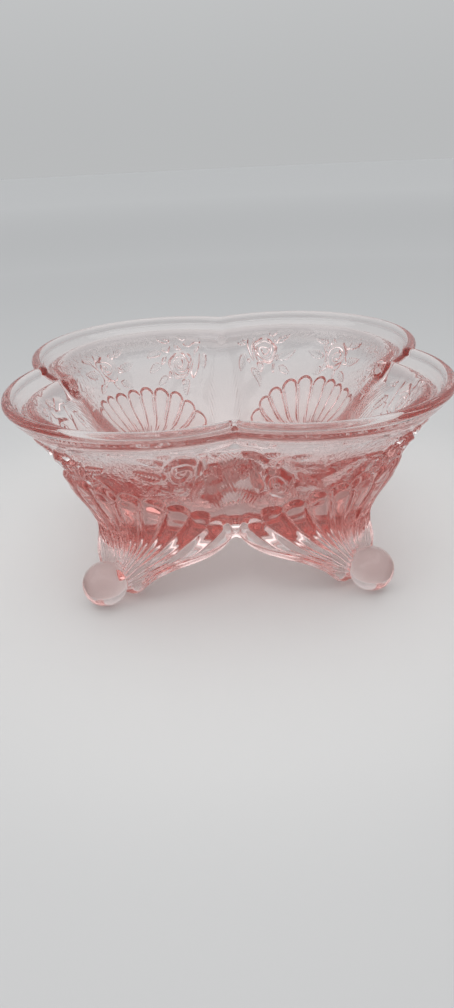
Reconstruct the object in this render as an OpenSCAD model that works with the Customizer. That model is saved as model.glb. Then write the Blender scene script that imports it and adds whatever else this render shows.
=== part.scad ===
// Footed four-lobed glass candy dish: flared lip with a lid ledge, deep bowl,
// four fan-shell legs that end in ball toes, and rose sprays in low relief.
// Units are millimetres. The dish stands on z = 0, centred on the Z axis.
// The lobes lie on the diagonals and the notches between them face X and Y.

/* [Plan] */
// Distance of each lobe's centre from the X and Y axes
lobe_c = 26; // [24:0.5:27]
// Radius of a lobe, measured to the middle of the lip
lobe_r = 54.4; // [53:0.2:57]
// Rounding of the notch between two lobes, in degrees of plan angle
notch_round = 3.2; // [1.5:0.1:5]

/* [Heights] */
// Height of the lip above the table
total_h = 80.5; // [79:0.5:84]
// Height at which the rim collar joins the bowl wall
collar_z = 70; // [69:0.5:71]
// Height of the inside floor
floor_z = 26.5; // [25:0.5:27]
// Height of the lowest point of the bowl's underside
under_z = 18.5; // [18:0.5:20]

/* [Rim] */
// Thickness of the rounded lip
lip_t = 4; // [3:0.2:5]
// Height of the lid ledge's outer edge
ledge_hi_z = 76.4; // [75:0.2:77]
// Height of the lid ledge's inner edge
ledge_lo_z = 72.5; // [71.5:0.1:73]
// Inside radius of a lobe where the ledge meets the wall
wall_top_r = 42; // [41:0.2:43]

/* [Legs] */
// Flutes on each shell fan
flutes = 15; // [9:2:17]
// How far the flutes stand out of the shell
flute_h = 1.3; // [0.6:0.1:1.8]
// Height of the fan's top on the diagonal
fan_top_z = 51; // [48:0.5:53]
// Thickness of the shell at the ankle
shell_t = 8; // [6:0.5:9]

/* [Ball toes] */
// Radius of a ball toe
toe_r = 8.65; // [8:0.05:9]
// Distance of each toe's centre from the X and Y axes
toe_c = 51.2; // [50:0.2:53]
// Radius of the flat that the toe stands on
toe_flat_r = 1.85; // [1:0.05:2.5]

/* [Roses] */
// Outer radius of one rose
rose_r = 5.8; // [4:0.2:6]
// Height of the rose relief
rose_h = 1.1; // [0.8:0.1:1.5]

/* [Hidden] */
glass = [0.93, 0.70, 0.68, 0.75];
glass_deep = [0.88, 0.55, 0.53, 0.8];
lobe_d = lobe_c * sqrt(2);          // lobe centre to dish axis
gap = 0.04;                         // clearance between touching faces
plan_n = 104;                       // plan points round the dish
fan_a = 118;                        // half angle of a shell at its top corners
ankle_a = 19;                       // half angle of a shell at its foot
foot_z = 2.2;                       // height of the shell's lowest edge
foot_face = 29;                     // flat on the ankle that a toe is fused to
fan_n = flutes * 5;                 // columns across a shell
fan_m = 9;                          // rows up a shell
toe_z = sqrt(toe_r * toe_r - toe_flat_r * toe_flat_r);

// Distance from the dish axis to the four-lobed outline of radius r at plan angle th
function outline(r, th, nr) =
    let (m = ((th % 90) + 90) % 90,
         near = 45 - abs(m - 45),
         soft = sqrt(near * near + nr * nr),
         t = max(0, 45 - soft))
    lobe_d * cos(t) + sqrt(max(0.01, r * r - lobe_d * lobe_d * sin(t) * sin(t)));

// One level of a wall: r is the lobe radius, k shrinks the whole outline, nr rounds the notches
function ring(r, k, z, nr = notch_round) =
    [for (i = [0:plan_n - 1]) let (th = 360 * i / plan_n, p = outline(r, th, nr) * k)
        [p * cos(th), p * sin(th), z]];

// Profiles as [lobe radius, shrink, height], from the bottom up
bowl_out = [[28.2, 0.30, under_z], [28.2, 0.55, under_z + 0.5], [28.2, 0.72, under_z + 2.5],
            [28.4, 0.86, 25], [28.6, 0.945, 30], [29.2, 0.985, 34.5], [31.6, 1, 40],
            [33.6, 1, 44], [37.3, 1, 52], [39.6, 1, 56], [41.6, 1, 60], [45.6, 1, 66],
            [49.6, 1, collar_z]];
// The inside leans more than the outside, so the base of the bowl is thick
bowl_in = [[41.2, 1, collar_z, 3.2], [39.1, 1, 66, 3.6], [35.9, 1, 60, 4.2], [33, 1, 55, 4.6],
           [30.3, 1, 50.5, 5], [29.8, 0.972, 47.2, 5.2], [29.4, 0.923, 43.6, 5.4], [29.4, 0.854, 40, 5.6],
           [29.4, 0.769, 36.5, 6], [29.4, 0.671, 33.4, 7], [29.4, 0.561, 30.8, 8],
           [29.4, 0.443, floor_z + 2.4, 9], [29.4, 0.32, floor_z + 1.1, 10], [29.4, 0.193, floor_z + 0.3, 11]];
lip_r = lip_t / 2;
rim_loop = concat(
    [[49.6, 1, collar_z], [53.2, 1, 74]],
    [for (a = [-40:20:200]) [lobe_r + lip_r * cos(a), 1, total_h - lip_r + lip_r * sin(a)]],
    [[47.2, 1, ledge_hi_z], [wall_top_r + 1.6, 1, ledge_lo_z + 0.9], [wall_top_r, 1, ledge_lo_z],
     [41.2, 1, collar_z]]);

// Linear look-up of y at x in a table of [x, y] with rising x
function look(x, t, i = 0) =
    x <= t[0][0] ? t[0][1] :
    i >= len(t) - 1 ? t[len(t) - 1][1] :
    x <= t[i + 1][0] ? t[i][1] + (t[i + 1][1] - t[i][1]) * (x - t[i][0]) / (t[i + 1][0] - t[i][0]) :
    look(x, t, i + 1);

bowl_r_t = [for (p = bowl_out) [p[2], p[0]]];
bowl_k_t = [for (p = bowl_out) [p[2], p[1]]];
// Outside radius of the shell by height
shell_r_t = [[1.5, 28.6], [3, 30.2], [14.2, 30.2], [17.5, 27.8], [20, 26.9], [24, 26.6], [28, 27.6],
             [32, 29.7], [36, 31.8], [40, 33.8], [44, 35.9], [48, 37.7], [52, 39.6]];
// Drop of the fan's top edge by angle from the lobe's diagonal
fan_top_t = [[0, 0], [12.5, -0.4], [25, -1.4], [37.5, -3.4], [50, -6.4], [62.5, -10.6],
             [76, -16], [92, -23.5], [108, -28.5], [118, -30.6]];

// Radius of the bowl's outside seen from a lobe centre, at angle a and height z
function bowl_from_lobe(a, z) =
    let (r = look(z, bowl_r_t), k = look(z, bowl_k_t), e = (1 - k) * lobe_d, q = k * r)
    z < under_z + 0.6 ? 0 :
    -e * cos(a) + sqrt(max(0, q * q - e * e * sin(a) * sin(a)));

// Point of a shell: u runs across the fan from -1 to 1, s runs from the foot to the fan's top
function shell_point(u, s, out) =
    let (top_a = fan_a * u, w = abs(cos(90 * flutes * u)),
         top = fan_top_z + look(abs(top_a), fan_top_t) - 1.3 * (1 - w),
         bend = 1 - 0.66 * pow(abs(u), 1.6),
         a = ankle_a * u + (top_a - ankle_a * u) * s,
         z = foot_z + (top - foot_z) * pow(s, bend),
         dome = sqrt(max(0, sin(min(1, (1 - s) * 9) * 90))),
         rib = flute_h * (0.3 + 0.7 * w) * dome * min(1, 0.25 + s * 2),
         flat_r = z < 16.5 ? (foot_face - gap / 2) / cos(a) : 99,
         ro = min(look(z, shell_r_t) - flute_h + rib, flat_r),
         ri = max(bowl_from_lobe(a, z) + gap + 0.03, ro - shell_t),
         r = out ? max(ro, ri + 0.6) : ri)
    [lobe_c + r * cos(45 + a), lobe_c + r * sin(45 + a), z];

// Skin of m rows that are closed loops of n points, closed over the ends or onto itself
function loop_faces(n, m, wrap) = concat(
    [for (j = [0:m - 2], i = [0:n - 1]) [j * n + i, (j + 1) * n + i, (j + 1) * n + (i + 1) % n]],
    [for (j = [0:m - 2], i = [0:n - 1]) [j * n + i, (j + 1) * n + (i + 1) % n, j * n + (i + 1) % n]],
    wrap ? concat(
        [for (i = [0:n - 1]) [(m - 1) * n + i, i, (i + 1) % n]],
        [for (i = [0:n - 1]) [(m - 1) * n + i, (i + 1) % n, (m - 1) * n + (i + 1) % n]]) :
        [[for (i = [0:n - 1]) i], [for (i = [0:n - 1]) m * n - 1 - i]]);
// Two triangles of a four-cornered patch
function patch(a, b, c, d) = [[a, b, c], [a, c, d]];
// Skin of a plate: p columns by q rows outside, then the same inside
function plate_faces(p, q) = let (h = p * q) [
    for (i = [0:p - 2], j = [0:q - 2]) let (a = i * q + j)
        each concat(patch(a, a + 1, a + q + 1, a + q), patch(h + a, h + a + q, h + a + q + 1, h + a + 1)),
    for (j = [0:q - 2]) let (e = (p - 1) * q + j)
        each concat(patch(j, h + j, h + j + 1, j + 1), patch(e, e + 1, h + e + 1, h + e)),
    for (i = [0:p - 2]) let (b = i * q, t = i * q + q - 1)
        each concat(patch(b, b + q, h + b + q, h + b), patch(t, h + t, h + t + q, t + q))];

// Four-lobed bowl wall with its rounded floor
module bowl() color(glass)
    let (levels = concat(bowl_out, bowl_in))
    polyhedron([for (p = levels) each ring(p[0], p[1], p[2], len(p) > 3 ? p[3] : notch_round)],
               loop_faces(plan_n, len(levels), false), convexity = 6);

// Rounded lip, flared collar and the sloping ledge that a lid would sit on
module rim_collar() color(glass_deep)
    polyhedron([for (p = rim_loop) each ring(p[0], p[1], p[2])],
               loop_faces(plan_n, len(rim_loop), true), convexity = 6);

// One shell fan that runs down into the leg, drawn for the +X +Y lobe
module shell_leg() color(glass_deep)
    let (cols = fan_n + 1, rows = fan_m + 1)
    polyhedron([for (out = [true, false], i = [0:cols - 1], j = [0:rows - 1])
                    shell_point(-1 + 2 * i / fan_n, j < rows - 2 ? j / (fan_m + 1) : j == rows - 2 ? 0.94 : 1, out)],
               plate_faces(cols, rows), convexity = 8);

// Shells of the other three lobes are the same piece turned or mirrored
module at_lobe(sx, sy) mirror([sx < 0 ? 1 : 0, 0, 0]) mirror([0, sy < 0 ? 1 : 0, 0]) children();

// Solid ball with a small flat to stand on, cut where it meets the ankle
module ball_toe() color(glass)
    translate([toe_c, toe_c, 0]) difference() {
        translate([0, 0, toe_z]) sphere(r = toe_r, $fn = 64);
        translate([0, 0, -5]) cylinder(r = toe_r, h = 5, $fn = 64);
        rotate([0, 0, 45]) translate([lobe_d + foot_face + gap / 2 - toe_c * sqrt(2) - 20, -20, -1])
            cube([20, 40, 40]);
    }

// One open rose: a dished disc with two petal rings and a bud
module rose() {
    cylinder(r = rose_r, h = rose_h * 0.45, $fn = 40);
    rotate_extrude($fn = 40) translate([rose_r * 0.78, rose_h * 0.4]) circle(r = rose_h * 0.5, $fn = 16);
    rotate_extrude($fn = 40) translate([rose_r * 0.45, rose_h * 0.45]) circle(r = rose_h * 0.5, $fn = 16);
    cylinder(r = rose_r * 0.2, h = rose_h, $fn = 24);
}

// Pointed leaf, flat on its back
module leaf(len) intersection() {
    translate([0, len * 0.42, 0]) cylinder(r = len * 0.75, h = rose_h * 0.5, $fn = 48);
    translate([0, -len * 0.42, 0]) cylinder(r = len * 0.75, h = rose_h * 0.5, $fn = 48);
}

// Places a flat-backed ornament on the outside of the wall of the +X +Y lobe
module on_wall(a, z, turn, reach)
    let (r = look(z, bowl_r_t), slope = (look(z + 1, bowl_r_t) - look(z - 1, bowl_r_t)) / 2,
         tilt = atan(slope))
    translate([lobe_c, lobe_c, 0]) rotate([0, 0, 45 + a]) translate([r + gap + reach, 0, z])
        rotate([0, 90 + tilt, 0]) rotate([0, 0, turn]) children();

// Three roses with leaves between them, on one lobe
module rose_spray() color(glass_deep) {
    on_wall(-58, 56.4, 0, 0.2) rose();
    on_wall(0.5, 61.4, 0, 0.2) rose();
    on_wall(53.5, 62, 0, 0.2) rose();
    on_wall(-30, 60.5, 68, 0.2) leaf(5.6);
    on_wall(26.5, 61.5, 112, 0.2) leaf(5.6);
}

bowl();
rim_collar();
at_lobe(-1, -1) shell_leg();  // shell_leg_front_left
at_lobe(1, -1) shell_leg();  // shell_leg_front_right
at_lobe(-1, 1) shell_leg();  // shell_leg_back_left
at_lobe(1, 1) shell_leg();  // shell_leg_back_right
at_lobe(-1, -1) ball_toe();  // ball_toe_front_left
at_lobe(1, -1) ball_toe();  // ball_toe_front_right
at_lobe(-1, 1) ball_toe();  // ball_toe_back_left
at_lobe(1, 1) ball_toe();  // ball_toe_back_right
rotate([0, 0, 180]) rose_spray();  // rose_spray_front_left
rotate([0, 0, -90]) rose_spray();  // rose_spray_front_right
rotate([0, 0, 90]) rose_spray();  // rose_spray_back_left
rose_spray();  // rose_spray_back_right
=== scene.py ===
import math
import bmesh
import bpy
import numpy as np
from mathutils import Matrix, Vector


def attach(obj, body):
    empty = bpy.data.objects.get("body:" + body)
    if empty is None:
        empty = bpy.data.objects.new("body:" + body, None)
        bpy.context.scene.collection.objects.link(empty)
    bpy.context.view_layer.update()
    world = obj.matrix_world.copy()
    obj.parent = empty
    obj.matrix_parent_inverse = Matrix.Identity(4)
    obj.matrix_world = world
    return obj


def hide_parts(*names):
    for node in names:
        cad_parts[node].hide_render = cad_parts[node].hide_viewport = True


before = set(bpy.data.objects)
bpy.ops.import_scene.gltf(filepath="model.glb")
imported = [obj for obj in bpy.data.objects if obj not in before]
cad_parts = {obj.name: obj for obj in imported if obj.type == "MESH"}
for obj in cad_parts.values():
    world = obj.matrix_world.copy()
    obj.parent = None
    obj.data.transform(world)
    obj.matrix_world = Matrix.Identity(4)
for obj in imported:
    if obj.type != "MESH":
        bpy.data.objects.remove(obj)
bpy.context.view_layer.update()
MM = 0.001

# ---------------------------------------------------------------- plan of the dish, in millimetres
C = 26.06                      # lobe centre from the X and Y axes
DG = C * math.sqrt(2.0)
NQ = 176      # columns in half a lobe
ROWS = 210   # rows from the foot edge to the collar
TOE = (51.2, 8.65, 8.65)       # toe centre from the axes, its height, its radius
LIP_R, LIP_T, TOP = 54.4, 2.05, 80.5
EDGE = 1.5                     # rounding of the foot and arch edge


def pchip(x, xs, ys):
    """Smooth monotone curve through the points xs, ys."""
    xs = np.asarray(xs, float); ys = np.asarray(ys, float)
    h = np.diff(xs); d = np.diff(ys) / h
    m = np.zeros_like(ys)
    m[0], m[-1] = d[0], d[-1]
    for i in range(1, len(ys) - 1):
        if d[i - 1] * d[i] > 0:
            w1, w2 = 2 * h[i] + h[i - 1], h[i] + 2 * h[i - 1]
            m[i] = (w1 + w2) / (w1 / d[i - 1] + w2 / d[i])
    x = np.clip(x, xs[0], xs[-1])
    i = np.clip(np.searchsorted(xs, x) - 1, 0, len(xs) - 2)
    t = (x - xs[i]) / h[i]
    return (ys[i] * (2 * t ** 3 - 3 * t ** 2 + 1) + h[i] * m[i] * (t ** 3 - 2 * t ** 2 + t)
            + ys[i + 1] * (-2 * t ** 3 + 3 * t ** 2) + h[i] * m[i + 1] * (t ** 3 - t ** 2))


def sstep(a, b, x):
    t = np.clip((x - a) / (b - a), 0, 1)
    return t * t * (3 - 2 * t)


def outline(r, w, q):
    """Plan outline of the +X +Y lobe: radius r, notch fillet w, q from -1 to 1 between its notches.
    Gives the point, the outward direction and the angle from the diagonal."""
    r, w, q = np.broadcast_arrays(np.asarray(r, float), np.asarray(w, float), np.asarray(q, float))
    s = np.sign(q); u = np.abs(q)
    at = math.radians(135) - np.arccos(np.clip(C / (r + w), -1, 1))
    psi = math.radians(135) - at + 0 * r       # turn of the fillet, in its own angle
    # the fillet turns from the lobe's direction back to the notch plane's direction
    psi = at - math.radians(45)
    L1, L2 = r * at, w * np.maximum(psi, 0)
    L = L1 + L2
    l = u * L
    on = l <= L1
    a = np.where(on, l / np.maximum(r, 1e-6), at)
    back = np.where(on, 0, (l - L1) / np.maximum(w, 1e-6))
    # lobe part, in the frame whose first axis is the diagonal
    x = DG + r * np.cos(a); y = r * np.sin(a)
    # fillet centre beyond the tangent point
    fx = DG + (r + w) * np.cos(at); fy = (r + w) * np.sin(at)
    d = at - back                              # direction of the outward normal on the fillet
    x = np.where(on, x, fx - w * np.cos(d)); y = np.where(on, y, fy - w * np.sin(d))
    nd = np.where(on, a, d)
    y = y * s; nd = nd * s
    c45 = math.sqrt(0.5)
    X = (x - y) * c45; Y = (x + y) * c45
    return X, Y, nd + math.radians(45), np.where(on, a, at + 0 * a) * s


# ---------------------------------------------------------------- profiles
Z_OUT = [2.0, 8, 13, 17, 20.5, 24, 28, 32, 36, 40, 44, 48, 52, 56, 60, 62.5, 65, 67, 70, 73, 76.2]
R_OUT = [29.6, 29.6, 29.0, 27.6, 26.9, 26.75, 27.3, 28.7, 30.5, 32.6, 34.7, 36.5, 38.3, 40.0, 41.8, 43.2, 45.3, 47.0, 49.7, 52.4, 55.4]


def r_out(z):
    return pchip(z, Z_OUT, R_OUT)


# inside wall: height, lobe radius, notch fillet. It leans more than the outside, so the base is thick
IN_Z = [50.5, 55.0, 60.0, 64.0, 67.5, 70.5]
IN_R = [29.6, 32.7, 36.1, 38.95, 41.2, 42.2]
IN_W = [13.0, 11.5, 10.0, 9.0, 8.1, 7.4]
# below it: height and distance of the wall from the axis along the diagonal
LOW_Z = [49.0, 47.2, 45.4, 43.6, 41.8, 40.0, 38.2, 36.5, 34.9, 33.4, 32.0, 30.8, 29.8, 28.9, 28.2, 27.6, 27.15, 26.8, 26.55, 26.45]
LOW_D = [65.4, 64.0, 62.4, 60.5, 58.4, 56.1, 53.6, 50.9, 47.8, 44.4, 40.8, 37.1, 33.3, 29.3, 25.3, 21.2, 17.0, 12.8, 8.4, 4.2]
FOOT_A = [0, 12, 18, 26, 34, 51, 68, 82, 100, 112, 140]
FOOT_Z = [2.6, 2.7, 3.6, 7.2, 10.6, 14.1, 15.3, 15.8, 16.6, 17.6, 17.8]


def foot_edge(a_deg):
    return pchip(np.abs(a_deg), FOOT_A, FOOT_Z)


# ---------------------------------------------------------------- relief
def hash2(i, j, seed):
    n = (i * 374761393 + j * 668265263 + seed * 2147483647) & 0x7FFFFFFF
    n = ((n ^ (n >> 13)) * 1274126177) & 0x7FFFFFFF
    return ((n ^ (n >> 16)) & 0xFFFF) / 65535.0


def noise(x, y, seed):
    xi = np.floor(x).astype(np.int64); yi = np.floor(y).astype(np.int64)
    fx = x - xi; fy = y - yi
    fx = fx * fx * (3 - 2 * fx); fy = fy * fy * (3 - 2 * fy)
    a = hash2(xi, yi, seed); b = hash2(xi + 1, yi, seed)
    c = hash2(xi, yi + 1, seed); d = hash2(xi + 1, yi + 1, seed)
    return (a * (1 - fx) + b * fx) * (1 - fy) + (c * (1 - fx) + d * fx) * fy


def pebble(x, y, cell, seed):
    """Small round bumps on a jittered grid."""
    best = np.full(x.shape, 9.0)
    xi = np.floor(x / cell).astype(np.int64); yi = np.floor(y / cell).astype(np.int64)
    for dx in (-1, 0, 1):
        for dy in (-1, 0, 1):
            cx = (xi + dx + 0.2 + 0.6 * hash2(xi + dx, yi + dy, seed)) * cell
            cy = (yi + dy + 0.2 + 0.6 * hash2(xi + dx, yi + dy, seed + 7)) * cell
            best = np.minimum(best, np.hypot(x - cx, y - cy))
    return np.clip(1 - (best / (cell * 0.55)) ** 2, 0, 1)


FAN_Z0 = 4.0
# Flute tips of each lobe, as angle from the diagonal and height, from the right-hand notch's side to the left.
NEAR = [(14.5, 53.7), (28.7, 51.6), (42.4, 49.4), (56.2, 45.2), (71.8, 39.2), (90, 30.4), (108, 23.5)]
FAR = [(13.2, 50.2), (25.8, 49.6), (38.6, 47.6), (51.2, 44.6), (64.0, 40.2), (78.0, 34.0), (95.0, 26.0)]
TIPS = {
    0: ((-3.4, 51.4), [(7.9, 52.0), (21.8, 51.6), (34.4, 49.5), (47.6, 45.6), (58.4, 41.6), (70.5, 35.8), (88.0, 28.5)], FAR),
    1: ((1.0, 49.9), FAR, [(12.8, 49.9), (24.7, 49.8), (37.4, 48.4), (50.3, 46.1), (62.8, 41.6), (76.8, 36.6), (93.0, 28.0)]),
    2: ((0.0, 54.0), NEAR, NEAR),
    3: ((-3.0, 54.0), NEAR, [(17.5, 53.6), (30.4, 51.0), (43.3, 48.2), (56.5, 44.3), (72.6, 39.4), (92.0, 30.0), (108, 23.5)]),
}


def fan_table(m):
    mid, plus, minus = TIPS[m]
    t = [(-a, z) for a, z in minus[::-1]] + [mid] + list(plus)
    ax = [math.radians(a) * float(r_out(z)) for a, z in t]
    be = [math.atan2(x, z - FAN_Z0) for x, (a, z) in zip(ax, t)]
    ro = [math.hypot(x, z - FAN_Z0) for x, (a, z) in zip(ax, t)]
    be = [-math.radians(80)] + be + [math.radians(80)]
    ro = [54.0] + ro + [54.0]
    return np.array(be), np.array(ro)


def fan(x, z, m):
    """Flute cross-section of lobe m, 0 to 1, from arc length x and height z, and where it is."""
    be, ro = fan_table(m)
    v = z - FAN_Z0
    rho = np.hypot(x, v); beta = np.arctan2(x, v)
    k = np.arange(len(be))
    i = np.clip(np.round(np.interp(beta, be, k)), 1, len(be) - 2)
    axis = np.interp(i, k, be)
    lo = 0.5 * (axis + np.interp(i - 1, k, be)); hi = 0.5 * (axis + np.interp(i + 1, k, be))
    lat = np.abs(np.sin(beta - axis)) * rho
    side = np.where(beta > axis, hi - axis, axis - lo)
    top = np.interp(i, k, ro)
    cap = 0.5 * (hi - lo) * top * 0.95
    cc = top - cap
    half = rho * np.tan(side)
    half = np.where(rho < cc, half, cap)
    inside = np.where(rho < cc, half - lat, cap - np.hypot(lat, rho - cc))
    t = np.clip(inside / np.maximum(half, 0.05), 0, 1)
    # steep shoulders about 1.4 mm wide round a gently domed face
    ramp = np.sin(0.5 * math.pi * np.clip(inside / np.minimum(1.75, np.maximum(0.74 * half, 0.05)), 0, 1))
    dome = (1 - (1 - t) ** 2.15) ** 0.5
    prof = 0.76 * ramp + 0.24 * dome if m < 2 else 0.40 * ramp + 0.60 * dome
    return prof, inside, rho, beta, top, np.abs(np.interp(beta, be, k) - (len(be) - 1) / 2)


S_Z = np.linspace(20, 78, 233)
S_V = np.concatenate([[0], np.cumsum(np.hypot(np.diff(r_out(S_Z)), np.diff(S_Z)))])


def along(z):
    return np.interp(z, S_Z, S_V)


def closed_curve(pts, n=6):
    p = np.array(pts, float); out = []
    k = len(p)
    for i in range(k):
        a, b, c, d = p[i - 1], p[i], p[(i + 1) % k], p[(i + 2) % k]
        for t in np.arange(n) / n:
            out.append(0.5 * ((2 * b) + (c - a) * t + (2 * a - 5 * b + 4 * c - d) * t * t + (3 * b - a - 3 * c + d) * t ** 3) * 0.6
                       + 0.4 * (b + (c - b) * t))
    return np.array(out)


def inside_of(u, v, pts, smooth=True):
    """Distance in from the edge of a closed shape, negative outside."""
    p = closed_curve(pts) if smooth else np.array(pts, float)
    d = np.full(u.shape, 1e9); odd = np.zeros(u.shape, bool)
    for i in range(len(p)):
        ax, ay = p[i]; bx, by = p[(i + 1) % len(p)]
        ex, ey = bx - ax, by - ay
        t = np.clip(((u - ax) * ex + (v - ay) * ey) / (ex * ex + ey * ey + 1e-12), 0, 1)
        d = np.minimum(d, np.hypot(u - ax - t * ex, v - ay - t * ey))
        if abs(ey) > 1e-12:
            odd ^= ((ay > v) != (by > v)) & (u < ax + (v - ay) * ex / ey)
    return np.where(odd, d, -d)


def blade(u, v, pts, H=1.45, tilt=0.20):
    """Plain sepal or leaf with steep sides. Its face is cut plumber than the wall it stands on."""
    d = inside_of(u, v, pts)
    vc = sum(p[1] for p in pts) / len(pts)
    face = np.clip(H + tilt * (vc - v), 0.35, 2.0)
    return face * sstep(0.0, 0.9, d)


def leaf(u, v, base, tip, W, H=1.0, bend=0.0, pitch=1.3):
    """Serrated leaf with slanting veins either side of a midrib."""
    L = math.hypot(tip[0] - base[0], tip[1] - base[1])
    c, s = (tip[0] - base[0]) / L, (tip[1] - base[1]) / L
    p = (u - base[0]) * c + (v - base[1]) * s; q = -(u - base[0]) * s + (v - base[1]) * c
    t = np.clip(p / L, 0, 1)
    q = q - bend * L * np.sin(t * math.pi)
    w = W / 2 * np.sin(math.pi * t ** 0.7) ** 0.85
    ph = (p - np.abs(q) * 1.1) / pitch
    fr = ph - np.floor(ph)
    w = w * (1 - 0.22 * fr)
    d = np.where((p > 0) & (p < L), w - np.abs(q), -1)
    vein = 0.5 - 0.5 * np.cos(2 * math.pi * ph)
    h = H * sstep(0.0, 0.45, d) * (0.16 + 0.84 * vein)
    return h * (1 - 0.5 * np.exp(-(q / 0.3) ** 2))


def rose(u, v, Ru, Rv, rot):
    """Open rose: petals wound in from the rim to a bud, each with a raised edge."""
    x, y = u / Ru, v / Rv
    rho = np.hypot(x, y); phi = np.arctan2(y, x) + math.radians(rot)
    edge = 1 + 0.06 * np.cos(5 * phi + 0.6) + 0.03 * np.cos(3 * phi + 1)
    d = (edge - rho) * min(Ru, Rv)
    h = (1.75 + 0.45 * np.clip(1 - rho ** 2, 0, 1)) * sstep(0.0, 1.25, d)
    turns = rho / (0.34 + 0.08 * rho) + phi / (2 * math.pi) + 0.10 * np.sin(3 * phi + 4 * rho)
    saw = turns - np.floor(turns)
    lip = sstep(0.0, 0.36, saw) * (1 - sstep(0.36, 1.0, saw))
    h = h + 1.1 * (lip - 0.5) * sstep(0.2, 1.0, d) * sstep(0.05, 0.2, rho)
    h = h + 0.35 * np.exp(-(rho / 0.14) ** 2)
    return np.where(d > 0, np.maximum(h, 0.15 * sstep(0.0, 0.3, d)), 0)


ROSES = {
    "A": dict(R=(5.6, 7.4, 35), mid=(0.0, 0.6), blades=[
        [(3.6, 8.6), (7.4, 9.4), (8.8, 3.2), (8.2, -2.2), (6.6, -5.8), (6.1, -1.0), (5.8, 3.6)],
        [(7.8, 7.6), (10.6, 8.8), (10.2, 6.9)], [(8.6, -3.2), (11.0, -3.4), (9.0, -6.0)],
        [(1.6, -6.8), (5.6, -5.8), (4.1, -11.4)], [(-4.6, -6.2), (-3.2, -6.8), (-2.2, -10.2), (-3.9, -12.0)],
        [(-6.6, -1.0), (-4.6, -3.4), (-6.0, -6.2)], [(-6.6, 3.2), (-4.9, 6.2), (-8.6, 8.8)]],
        leaves=[((-6.2, -4.6), (-16.4, 0.6), 5.2, 0.06), ((-6.4, 4.2), (-13.0, 9.2), 4.4, -0.05), ((8.8, -8.0), (5.4, -19.0), 4.6, -0.08),
                ((10.0, -0.2), (16.4, -9.6), 5.0, 0.05), ((-3.0, 8.6), (-8.6, 12.4), 3.2, 0.0), ((-7.0, -8.0), (-13.6, -12.6), 4.4, 0.05),
                ((9.4, 5.0), (14.6, 9.6), 3.6, 0.0)]),
    "B": dict(R=(5.3, 7.0, 200), mid=(0.3, 0.8), blades=[
        [(-9.0, 17.2), (-4.6, 17.8), (-0.6, 12.2), (-3.4, 10.2), (-6.0, 13.0), (-8.6, 12.6)],
        [(-9.4, 6.8), (-7.0, 7.4), (-5.0, -2.6), (-7.4, -6.6), (-9.8, -0.8)], [(-8.4, 11.0), (-6.6, 10.6), (-5.6, 3.4), (-7.8, 7.9)],
        [(-0.4, 8.2), (2.6, 8.8), (3.4, 13.4)], [(5.0, 11.6), (9.8, 9.2), (6.0, 7.0)], [(6.9, 6.0), (9.0, 4.6), (10.2, 0.4), (7.4, 2.0)],
        [(4.2, -4.0), (5.6, -1.6), (6.8, -5.8), (5.0, -6.4)], [(-3.0, -6.4), (-0.6, -7.2), (-2.2, -10.6)]],
        leaves=[((8.8, 8.2), (16.6, 5.0), 5.2, 0.06), ((9.6, 1.6), (16.8, -3.6), 4.6, 0.05), ((-4.6, -6.6), (-4.0, -16.0), 4.4, 0.08),
                ((-2.4, 14.6), (3.2, 17.2), 3.4, 0.0), ((-10.6, 7.4), (-13.2, -1.6), 4.6, 0.04), ((7.0, -5.0), (13.0, -10.0), 4.0, 0.0),
                ((5.2, 13.6), (11.6, 16.0), 3.6, 0.0)]),
    "C": dict(R=(5.7, 7.2, 110), mid=(0.0, 0.4), blades=[
        [(5.0, 3.4), (8.6, 6.4), (6.2, 0.8)], [(1.4, 6.8), (4.8, 5.0), (4.6, 10.2)], [(-5.4, 4.0), (-3.0, 6.8), (-6.8, 9.2)],
        [(-6.0, 0.6), (-5.2, -3.4), (-9.2, -3.2)], [(-2.8, -6.4), (0.4, -7.0), (-2.2, -11.6)], [(3.0, -6.0), (5.4, -3.2), (6.8, -8.6)]],
        leaves=[((-6.8, -2.0), (-16.0, 1.2), 5.0, 0.06), ((-5.6, 5.6), (-12.6, 10.0), 4.2, 0.0), ((6.4, -1.0), (15.6, 1.6), 5.0, -0.06),
                ((6.0, 6.0), (12.8, 9.6), 4.2, 0.0), ((-5.0, -7.4), (-12.0, -11.6), 4.2, 0.0), ((5.6, -6.6), (12.4, -10.4), 4.2, 0.0)]),
}
SPRAYS = {
    0: [("A", 51.0, 63.2), ("C", 0.7, 61.8), ("B", -58.0, 56.0)],
    1: [("A", 54.0, 62.8), ("C", 1.4, 61.4), ("B", -52.4, 58.4)],
    2: [("A", 55.4, 62.5), ("C", 1.0, 61.6), ("B", -58.0, 55.6)],
    3: [("A", 54.0, 62.8), ("C", 0.0, 61.6), ("B", -63.0, 53.0)],
}


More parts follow.
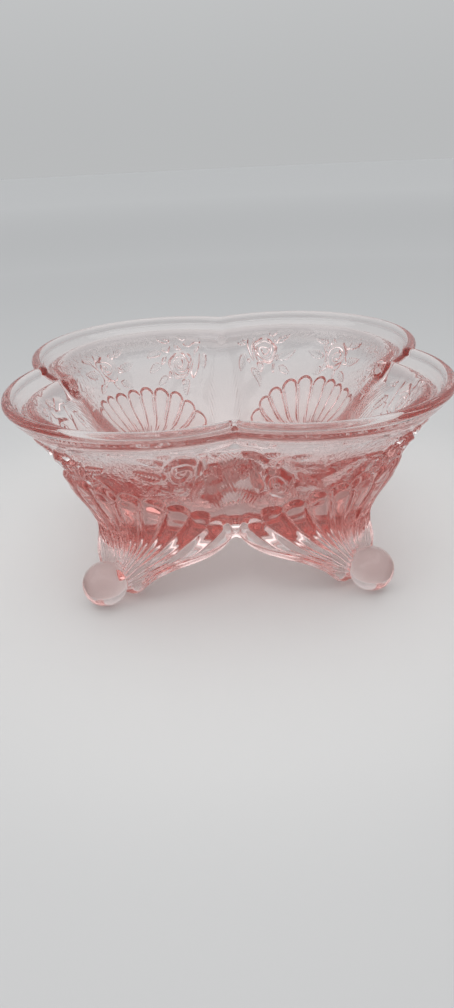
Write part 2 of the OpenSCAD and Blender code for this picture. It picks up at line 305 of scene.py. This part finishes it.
def band(aeff, z, m):
    """Rose and leaf relief above the shells, in millimetres."""
    h = np.zeros_like(z)
    vv = along(z)
    for kind, a0, z0 in SPRAYS[m]:
        g = ROSES[kind]
        u = (aeff - math.radians(a0)) * float(r_out(z0)); v = vv - float(along(z0))
        near = (np.abs(u) < 21) & (np.abs(v) < 21)
        uu, wv = u[near], v[near]
        e = np.zeros_like(uu)
        for base, tip, W, bend in g["leaves"]:
            e = np.maximum(e, leaf(uu, wv, base, tip, W, bend=bend))
        for pts in g["blades"]:
            b = blade(uu, wv, pts)
            e = np.where(inside_of(uu, wv, pts) > -0.05, np.maximum(b, 0), e)
        Ru, Rv, rot = g["R"]; mu, mv = g["mid"]
        Ru, Rv = Ru * (1.0 if m > 1 else 1.1), Rv * (1.14 if m > 1 else 1.06)
        ro = rose(uu - mu, wv - mv, Ru, Rv, rot)
        e = np.where(np.hypot((uu - mu) / Ru, (wv - mv) / Rv) < 0.97, np.maximum(ro, 0), np.maximum(e, ro))
        t = h[near]; h[near] = np.maximum(t, e)
    return h


def top_of(aeff_deg):
    """Height where the plain collar begins: it dips towards the notches."""
    return np.interp(np.abs(aeff_deg), [0, 50, 58, 67, 71.4, 76, 90], [71.0, 71.0, 70.4, 68.8, 67.4, 66.3, 66.0])


def relief(r, z, x, q, m):
    """Height of the pressed pattern over the smooth outside, and how much of it is stippled ground."""
    aeff = x / r
    prof, inside, rho, beta, top, _ = fan(x, z, m)
    amp = np.interp(rho, [3, 8, 14, 24, 36, 46, 52], [0.0, 0.45, 0.8, 1.3, 1.95, 2.4, 2.5])
    h = amp * np.where(inside > 0, prof, 0)
    body = sstep(0, 3.0, top - 5.0 - rho)
    h = h + 0.35 * body * np.interp(rho, [6, 20], [0, 1])
    rib = 0.5 + 0.5 * np.cos(beta / math.radians(4.1) * 2 * math.pi)
    h = h + 0.58 * rib * sstep(4.5, 9, rho) * (1 - sstep(22, 38, rho))
    above = sstep(-0.1, 0.8, -inside) * sstep(-4.5, -3.0, rho - top)
    edge = top_of(np.degrees(aeff))
    cut = 1 - sstep(-0.7, 0.3, z - edge)
    b = band(aeff, z, m) * cut
    h = np.maximum(h, b * above)
    seam = sstep(0.80, 0.90, np.abs(q))
    ground = above * cut * (1 - seam) * (1 - sstep(0.05, 0.4, b)) * sstep(38, 44, z)
    h = h + 0.15 * ground * (noise(x / 1.3, z / 1.3, 5) - 0.5)
    h = h + 0.22 * seam * (0.5 + 0.5 * np.cos(x / 1.35 * 2 * math.pi)) * sstep(32, 38, z) * (1 - sstep(65, 67, z))
    return h, ground


# ---------------------------------------------------------------- the glass as rows of points
def lobe_rows(m):
    q = np.linspace(-1, 1, 2 * NQ + 1)[:-1]
    rows = []

    def add(r, w, z, k=1.0):
        X, Y, nd, a = outline(r, w, q)
        rows.append(np.stack([X * k, Y * k, np.broadcast_to(np.asarray(z, float), X.shape) + 0 * X], -1))

    # outside from the foot edge to the collar, each column at its own heights
    s = np.linspace(0, 1, ROWS)[:, None]
    qq = q[None, :]
    z = np.full((ROWS, q.size), 20.0)
    for _ in range(6):                      # the edge height depends on the angle it is met at
        a_deg = np.degrees(outline(r_out(z[:1]), 2.2, qq)[3])
        zb = foot_edge(np.where(np.abs(qq) > 0.985, 112, a_deg)) + EDGE
        z = zb + (72.0 - zb) * (0.97 * s + 0.03 * s * s)
    w = np.interp(z, [15, 24, 34, 46, 60, 68, 72], [2.4, 3.2, 7.5, 9.0, 8.0, 4.4, 2.4])
    r = r_out(z)
    X, Y, nd, a = outline(r, w, qq)
    base = np.stack([X, Y, z], -1)
    du = np.roll(base, -1, 1) - np.roll(base, 1, 1)
    du[:, 0] = base[:, 1] - base[:, 0]; du[:, -1] = base[:, -1] - base[:, -2]
    dv = np.gradient(base, axis=0)
    n = np.cross(du, dv); n /= np.linalg.norm(n, axis=-1, keepdims=True) + 1e-12
    flat = np.stack([np.cos(nd), np.sin(nd), 0 * nd], -1)
    n = np.where((n * flat).sum(-1, keepdims=True) < 0, -n, n)
    xarc = a * r
    # past the fillet's start the arc length keeps running, so the pattern does too
    L = np.abs(qq) * (r * (math.radians(135) - np.arccos(np.clip(C / (r + w), -1, 1))) +
                      w * np.maximum(math.radians(90) - np.arccos(np.clip(C / (r + w), -1, 1)), 0))
    xarc = np.sign(qq) * L
    h, ground = relief(r, z, xarc, qq, m)
    # ease the pattern off at the very foot edge
    up_mm = z - zb
    away = sstep(14, 30, np.abs(a_deg))
    h = h * (sstep(0, 2.6, up_mm) * (1 - away) + sstep(1.6, 3.2, up_mm) * away) * (1 - sstep(0.985, 1.0, s))
    # bead along the edge of the foot and over the arch
    h = h + 0.95 * away * np.sqrt(np.clip(1 - ((up_mm - 0.9) / 1.0) ** 2, 0, 1)) * sstep(0.0, 0.5, up_mm)
    # rise of the ankle round the toe
    lat = np.hypot(xarc, z - TOE[1])
    h = h + 0.9 * np.exp(-((lat - 6.3) / 1.5) ** 2)
    outer = base + n * h[..., None]

    # foot edge: half round, then up the inside of the leg and in under the bowl
    z0 = z[0]; r0 = r_out(z0); w0 = w[0]
    X0, Y0, nd0, a0 = outline(r0, w0, q)
    t = np.interp(np.abs(np.degrees(a0)), [0, 20, 45, 80, 112], [9.0, 8.6, 7.4, 6.4, 6.0])
    nx, ny = np.cos(nd0), np.sin(nd0)
    edge = z0 - EDGE
    under = []
    ceil_z = 21.2
    rr = EDGE
    for ang in np.linspace(0, 90, 7)[1:]:
        c_, s_ = math.cos(math.radians(ang)), math.sin(math.radians(ang))
        off = rr * (1 - c_)
        under.append(np.stack([X0 - nx * off, Y0 - ny * off, z0 - rr * s_], -1))
    for f in (0.35, 0.7, 1.0):
        off = rr + (t - 2 * rr) * f
        under.append(np.stack([X0 - nx * off, Y0 - ny * off, edge + 0 * off], -1))
    rise = np.maximum(ceil_z - edge, 0.0)
    reach = np.interp(np.abs(np.degrees(a0)), [0, 30, 60, 90, 112], [12.0, 11.5, 10.0, 8.5, 7.5])
    for f in np.linspace(0.05, 1.0, 20):            # a quarter ellipse carries the leg into the underside
        ph = f * math.pi / 2
        off = (t - rr) + rr * min(1.0, f * 4) + reach * (1 - math.cos(ph))
        under.append(np.stack([X0 - nx * off, Y0 - ny * off, edge + rise * math.sin(ph)], -1))
    last = under[-1]
    for k, dz in ((0.94, -0.05), (0.86, -0.15), (0.76, -0.3), (0.64, -0.5), (0.50, -0.7), (0.36, -0.9), (0.22, -1.05), (0.10, -1.1)):
        g = float(sstep(0.0, 1.0, (1.0 - k) / 0.45))
        p = last.copy(); p[:, 0] *= k; p[:, 1] *= k; p[:, 2] = p[:, 2] * (1 - g) + 21.2 * g + dz
        under.append(p)
    rows.extend(under[::-1])
    mask = np.zeros((len(rows), q.size))
    rows.extend(list(outer))
    mask = np.concatenate([mask, ground])

    # collar, with the small step under the lip, then the rounded lip
    for zc in np.linspace(72.2, 76.0, 10):
        rc = r_out(zc)
        step = 0.30 * sstep(72.3, 72.9, np.array(zc)) * (1 - 0.8 * sstep(73.2, 76.2, np.array(zc)))
        add(rc + step, 2.4, zc)
    zl = TOP - LIP_T
    for ang in np.linspace(-38, 205, 21):
        add(LIP_R + LIP_T * math.cos(math.radians(ang)), 3.0, zl + LIP_T * math.sin(math.radians(ang)))
    # inside: shallow collar, step, wall, floor
    prof = [(51.9, 77.2), (50.9, 76.4), (49.9, 75.7), (48.9, 75.15), (48.1, 74.9), (47.5, 75.1), (47.0, 75.5), (46.3, 75.9),
            (45.5, 76.0), (44.7, 75.75), (44.05, 75.2), (43.55, 74.5), (43.2, 73.7), (42.85, 72.9), (42.55, 72.0), (42.25, 71.2)]
    for (rp, zp) in prof:
        add(rp, 2.6 + 2.4 * max(0.0, (74.5 - zp) / 3.3), zp)
    def uneven(zz, k=1.0):
        Xq, Yq, _, _ = outline(40.0, 6.0, q)
        ca, sa = [(1, 0), (0, 1), (-1, 0), (0, -1)][m]
        gx, gy = Xq * ca - Yq * sa, Xq * sa + Yq * ca
        return 0.70 * k * (noise(gx / 9.0 + 40, gy / 9.0 + zz / 8.0 + 40, 11) + noise(gy / 9.0 + 80, zz / 7.0 - gx / 9.0 + 80, 12) - 1.0)

    for zp in np.linspace(69.8, 50.5, 24):
        add(float(pchip(zp, IN_Z, IN_R)) + uneven(zp, sstep(0, 4, 70.0 - zp)), float(np.interp(zp, IN_Z, IN_W)), zp)
    for zp, dp in zip(LOW_Z, LOW_D):
        rp = float(np.interp(zp, [36, 44, 50.5], [27.0, 27.4, 29.6]))
        k = dp / (DG + rp)
        add(rp + uneven(zp), 13.0 + (1 - k) * 10, zp, k)
    rows = np.array(rows)
    mask = np.concatenate([mask, np.zeros((len(rows) - len(mask), q.size))])
    return np.concatenate([rows, mask[..., None]], -1)


def spin():
    out = []
    for m in range(4):
        rows = lobe_rows(m)
        a = math.radians(90 * m); c_, s_ = round(math.cos(a)), round(math.sin(a))
        p = rows.copy(); p[..., 0] = rows[..., 0] * c_ - rows[..., 1] * s_; p[..., 1] = rows[..., 0] * s_ + rows[..., 1] * c_
        out.append(p)
    return np.concatenate(out, 1)


def grid_mesh(name, P):
    """Closed mesh from rows of closed loops, capped by a centre point at each end."""
    mask = P[..., 3].ravel(); P = P[..., :3]
    m, n = P.shape[:2]
    lo = P[0].mean(0); hi = P[-1].mean(0)
    V = np.concatenate([P.reshape(-1, 3), lo[None], hi[None]]) * MM
    j, i = np.meshgrid(np.arange(m - 1), np.arange(n), indexing="ij")
    a = (j * n + i).ravel(); b = (j * n + (i + 1) % n).ravel()
    Q = np.stack([a, b, b + n, a + n], 1)
    i = np.arange(n)
    T0 = np.stack([i, np.full(n, m * n), (i + 1) % n], 1)
    T1 = np.stack([(m - 1) * n + i, (m - 1) * n + (i + 1) % n, np.full(n, m * n + 1)], 1)
    me = bpy.data.meshes.new(name)
    me.vertices.add(len(V)); me.vertices.foreach_set("co", V.astype(np.float32).ravel())
    loops = np.concatenate([Q.ravel(), T0.ravel(), T1.ravel()]).astype(np.int32)
    starts = np.concatenate([np.arange(len(Q)) * 4, len(Q) * 4 + np.arange(2 * n) * 3]).astype(np.int32)
    me.loops.add(len(loops)); me.loops.foreach_set("vertex_index", loops)
    me.polygons.add(len(starts)); me.polygons.foreach_set("loop_start", starts)
    me.update(calc_edges=True); me.validate()
    g = me.attributes.new("ground", "FLOAT", "POINT"); g.data.foreach_set("value", np.concatenate([mask, [0, 0]]).astype(np.float32))
    me.polygons.foreach_set("use_smooth", np.ones(len(me.polygons), bool))
    o = bpy.data.objects.new(name, me); bpy.context.scene.collection.objects.link(o)
    return o


def ball(name, c, r, u=72, v=44):
    th = np.linspace(0, math.pi, v + 1)[1:-1]; ph = np.arange(u) * 2 * math.pi / u
    P = np.stack([np.cos(ph)[None] * np.sin(th)[:, None] * r, np.sin(ph)[None] * np.sin(th)[:, None] * r,
                  -np.cos(th)[:, None] * r + 0 * ph[None]], -1) + np.array(c)
    m, n = P.shape[:2]
    V = np.concatenate([P.reshape(-1, 3), [[c[0], c[1], c[2] - r]], [[c[0], c[1], c[2] + r]]]) * MM
    F = [(j * n + i, j * n + (i + 1) % n, (j + 1) * n + (i + 1) % n, (j + 1) * n + i) for j in range(m - 1) for i in range(n)]
    F += [(i, m * n, (i + 1) % n) for i in range(n)]
    F += [((m - 1) * n + i, (m - 1) * n + (i + 1) % n, m * n + 1) for i in range(n)]
    me = bpy.data.meshes.new(name); me.from_pydata([tuple(p) for p in V], [], F)
    me.polygons.foreach_set("use_smooth", np.ones(len(me.polygons), bool))
    o = bpy.data.objects.new(name, me); bpy.context.scene.collection.objects.link(o)
    return o


dish = grid_mesh("dish_glass", spin())
toes = [ball("toe_%d" % i, (sx * TOE[0], sy * TOE[0], TOE[1]), TOE[2]) for i, (sx, sy) in enumerate(((-1, -1), (1, -1), (1, 1), (-1, 1)))]
for t in toes:
    m = dish.modifiers.new(t.name, "BOOLEAN"); m.operation = "UNION"; m.object = t; m.solver = "MANIFOLD"
bpy.context.view_layer.update()
deps = bpy.context.evaluated_depsgraph_get()
me = bpy.data.meshes.new_from_object(dish.evaluated_get(deps))
dish.modifiers.clear(); old = dish.data; dish.data = me; bpy.data.meshes.remove(old)
for t in toes:
    d = t.data; bpy.data.objects.remove(t); bpy.data.meshes.remove(d)

# where a toe joins its ankle the union can leave a loose crumb of a few faces
bm = bmesh.new(); bm.from_mesh(dish.data); bm.verts.ensure_lookup_table()
part = np.full(len(bm.verts), -1); sizes = []
for v in bm.verts:
    if part[v.index] < 0:
        part[v.index] = len(sizes); todo = [v]; count = 0
        while todo:
            w_ = todo.pop(); count += 1
            for e_ in w_.link_edges:
                u_ = e_.other_vert(w_)
                if part[u_.index] < 0:
                    part[u_.index] = len(sizes); todo.append(u_)
        sizes.append(count)
keep = int(np.argmax(sizes))
bmesh.ops.delete(bm, geom=[v for v in bm.verts if part[v.index] != keep], context="VERTS")
bm.to_mesh(dish.data); bm.free(); dish.data.update()
dish.data.polygons.foreach_set("use_smooth", np.ones(len(dish.data.polygons), bool))
print("dish_glass", "parts", sizes, len(dish.data.vertices), "verts", len(dish.data.polygons), "faces")

# ---------------------------------------------------------------- glass
mat = bpy.data.materials.new("pink_pressed_glass"); mat.use_nodes = True
nt = mat.node_tree; bs = nt.nodes["Principled BSDF"]
bs.inputs["Base Color"].default_value = (1.0, 1.0, 1.0, 1)
bs.inputs["Roughness"].default_value = 0.0
bs.inputs["IOR"].default_value = 1.5
bs.inputs["Transmission Weight"].default_value = 1.0
# fine pressed stipple of the ground between the roses, finer than the mesh
at = nt.nodes.new("ShaderNodeAttribute"); at.attribute_name = "ground"
tc = nt.nodes.new("ShaderNodeTexCoord")
vo = nt.nodes.new("ShaderNodeTexVoronoi"); vo.feature = "SMOOTH_F1"; vo.inputs["Scale"].default_value = 1150.0
nt.links.new(tc.outputs["Object"], vo.inputs["Vector"])
mu = nt.nodes.new("ShaderNodeMath"); mu.operation = "MULTIPLY"
nt.links.new(vo.outputs["Distance"], mu.inputs[0]); nt.links.new(at.outputs["Fac"], mu.inputs[1])
bu = nt.nodes.new("ShaderNodeBump"); bu.invert = True
bu.inputs["Strength"].default_value = 1.0; bu.inputs["Distance"].default_value = 0.00012
nt.links.new(mu.outputs[0], bu.inputs["Height"]); nt.links.new(bu.outputs["Normal"], bs.inputs["Normal"])
vol = nt.nodes.new("ShaderNodeVolumeAbsorption")
vol.inputs["Color"].default_value = (0.755, 0.24, 0.185, 1)
vol.inputs["Density"].default_value = 21.2
nt.links.new(vol.outputs["Volume"], nt.nodes["Material Output"].inputs["Volume"])
dish.data.materials.clear(); dish.data.materials.append(mat)

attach(dish, "root")
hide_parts(*[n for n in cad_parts])

# ---------------------------------------------------------------- floor, light, camera
fm = bpy.data.meshes.new("floor")
nf = 96
fm.from_pydata([(6 * math.cos(2 * math.pi * i / nf), 6 * math.sin(2 * math.pi * i / nf), 0) for i in range(nf)], [], [tuple(range(nf))])
floor = bpy.data.objects.new("floor", fm); bpy.context.scene.collection.objects.link(floor)
fmat = bpy.data.materials.new("floor_painted_light"); fmat.use_nodes = True
fb = fmat.node_tree.nodes["Principled BSDF"]
fb.inputs["Roughness"].default_value = 0.7
fb.inputs["Specular IOR Level"].default_value = 0.2
# painted light and shade on the floor colour: brightest round the dish to offset the shade the dish casts, darker
# further out in place of the lamp's falloff, then paler again far away
ft = fmat.node_tree
fo = ft.nodes.new("ShaderNodeTexCoord"); fl = ft.nodes.new("ShaderNodeVectorMath"); fl.operation = "LENGTH"
fr = ft.nodes.new("ShaderNodeMapRange"); fr.inputs["From Min"].default_value = 0.0; fr.inputs["From Max"].default_value = 2.4
fx = ft.nodes.new("ShaderNodeValToRGB"); fx.color_ramp.interpolation = "B_SPLINE"
# ramp stops of the painted light: a bright pool round the dish, then a ring of painted shade further out
for i, (p, c) in enumerate(((0.0, (0.85, 0.838, 0.829)), (0.028, (0.825, 0.815, 0.806)), (0.05, (0.715, 0.709, 0.703)), (0.073, (0.60, 0.598, 0.598)),
                            (0.113, (0.545, 0.545, 0.547)), (0.2, (0.53, 0.533, 0.538)), (0.36, (0.56, 0.563, 0.569)), (1.0, (0.78, 0.785, 0.79)))):
    e = fx.color_ramp.elements[i] if i < 2 else fx.color_ramp.elements.new(p)
    e.position = p; e.color = (*c, 1)
ft.links.new(fo.outputs["Object"], fl.inputs[0]); ft.links.new(fl.outputs["Value"], fr.inputs["Value"])
ft.links.new(fr.outputs["Result"], fx.inputs["Fac"]); ft.links.new(fx.outputs["Color"], fb.inputs["Base Color"])
fm.materials.append(fmat)

world = bpy.data.worlds.new("studio"); bpy.context.scene.world = world; world.use_nodes = True
wt = world.node_tree; bg = wt.nodes["Background"]
bg.inputs["Color"].default_value = (0.975, 0.99, 1.0, 1)
# a light tent: dimmer towards its foot
wc = wt.nodes.new("ShaderNodeTexCoord"); wd = wt.nodes.new("ShaderNodeVectorMath"); wd.operation = "DOT_PRODUCT"
wd.inputs[1].default_value = (0.0, 0.0, 1.0)
wr = wt.nodes.new("ShaderNodeMapRange"); wr.interpolation_type = "SMOOTHSTEP"
wr.inputs["From Min"].default_value = 0.0; wr.inputs["From Max"].default_value = 0.5
wr.inputs["To Min"].default_value = 0.50; wr.inputs["To Max"].default_value = 0.69
wt.links.new(wc.outputs["Generated"], wd.inputs[0]); wt.links.new(wd.outputs["Value"], wr.inputs["Value"])
wt.links.new(wr.outputs["Result"], bg.inputs["Strength"])


def area(name, loc, target, size, watts, colour=(1, 1, 1)):
    d = bpy.data.lights.new(name, "AREA"); d.shape = "RECTANGLE"; d.size, d.size_y = size; d.energy = watts; d.color = colour
    o = bpy.data.objects.new(name, d); bpy.context.scene.collection.objects.link(o); o.location = loc
    o.rotation_euler = (Vector(target) - Vector(loc)).to_track_quat("-Z", "Y").to_euler()
    return o


area("top_softbox", (0.0, -0.05, 0.90), (0, 0, 0), (1.4, 1.2), 4.5)
area("side_softbox", (-0.75, -0.35, 0.55), (0, 0, 0.04), (0.5, 0.5), 0.68)

cam_d = bpy.data.cameras.new("camera"); cam_d.lens = 701.8 / 1008 * 36; cam_d.sensor_width = 36; cam_d.clip_start = 0.01
cam = bpy.data.objects.new("camera", cam_d); bpy.context.scene.collection.objects.link(cam)
Cm = Vector((-7.166, -279.018, 155.904)) * MM
rt = Vector((0.998288, -0.039463, -0.043169)); up = Vector((0.056370, 0.452350, 0.890057)); fw = Vector((0.015596, 0.890967, -0.453801))
R = Matrix((rt, up, -fw)).transposed().to_4x4()
cam.matrix_world = Matrix.Translation(Cm) @ R
bpy.context.scene.camera = cam
sc = bpy.context.scene
sc.view_settings.view_transform = "Standard"
sc.cycles.max_bounces = 32; sc.cycles.transmission_bounces = 32; sc.cycles.glossy_bounces = 24
sc.cycles.diffuse_bounces = 4; sc.cycles.volume_bounces = 0; sc.cycles.transparent_max_bounces = 16

bpy.context.view_layer.update()
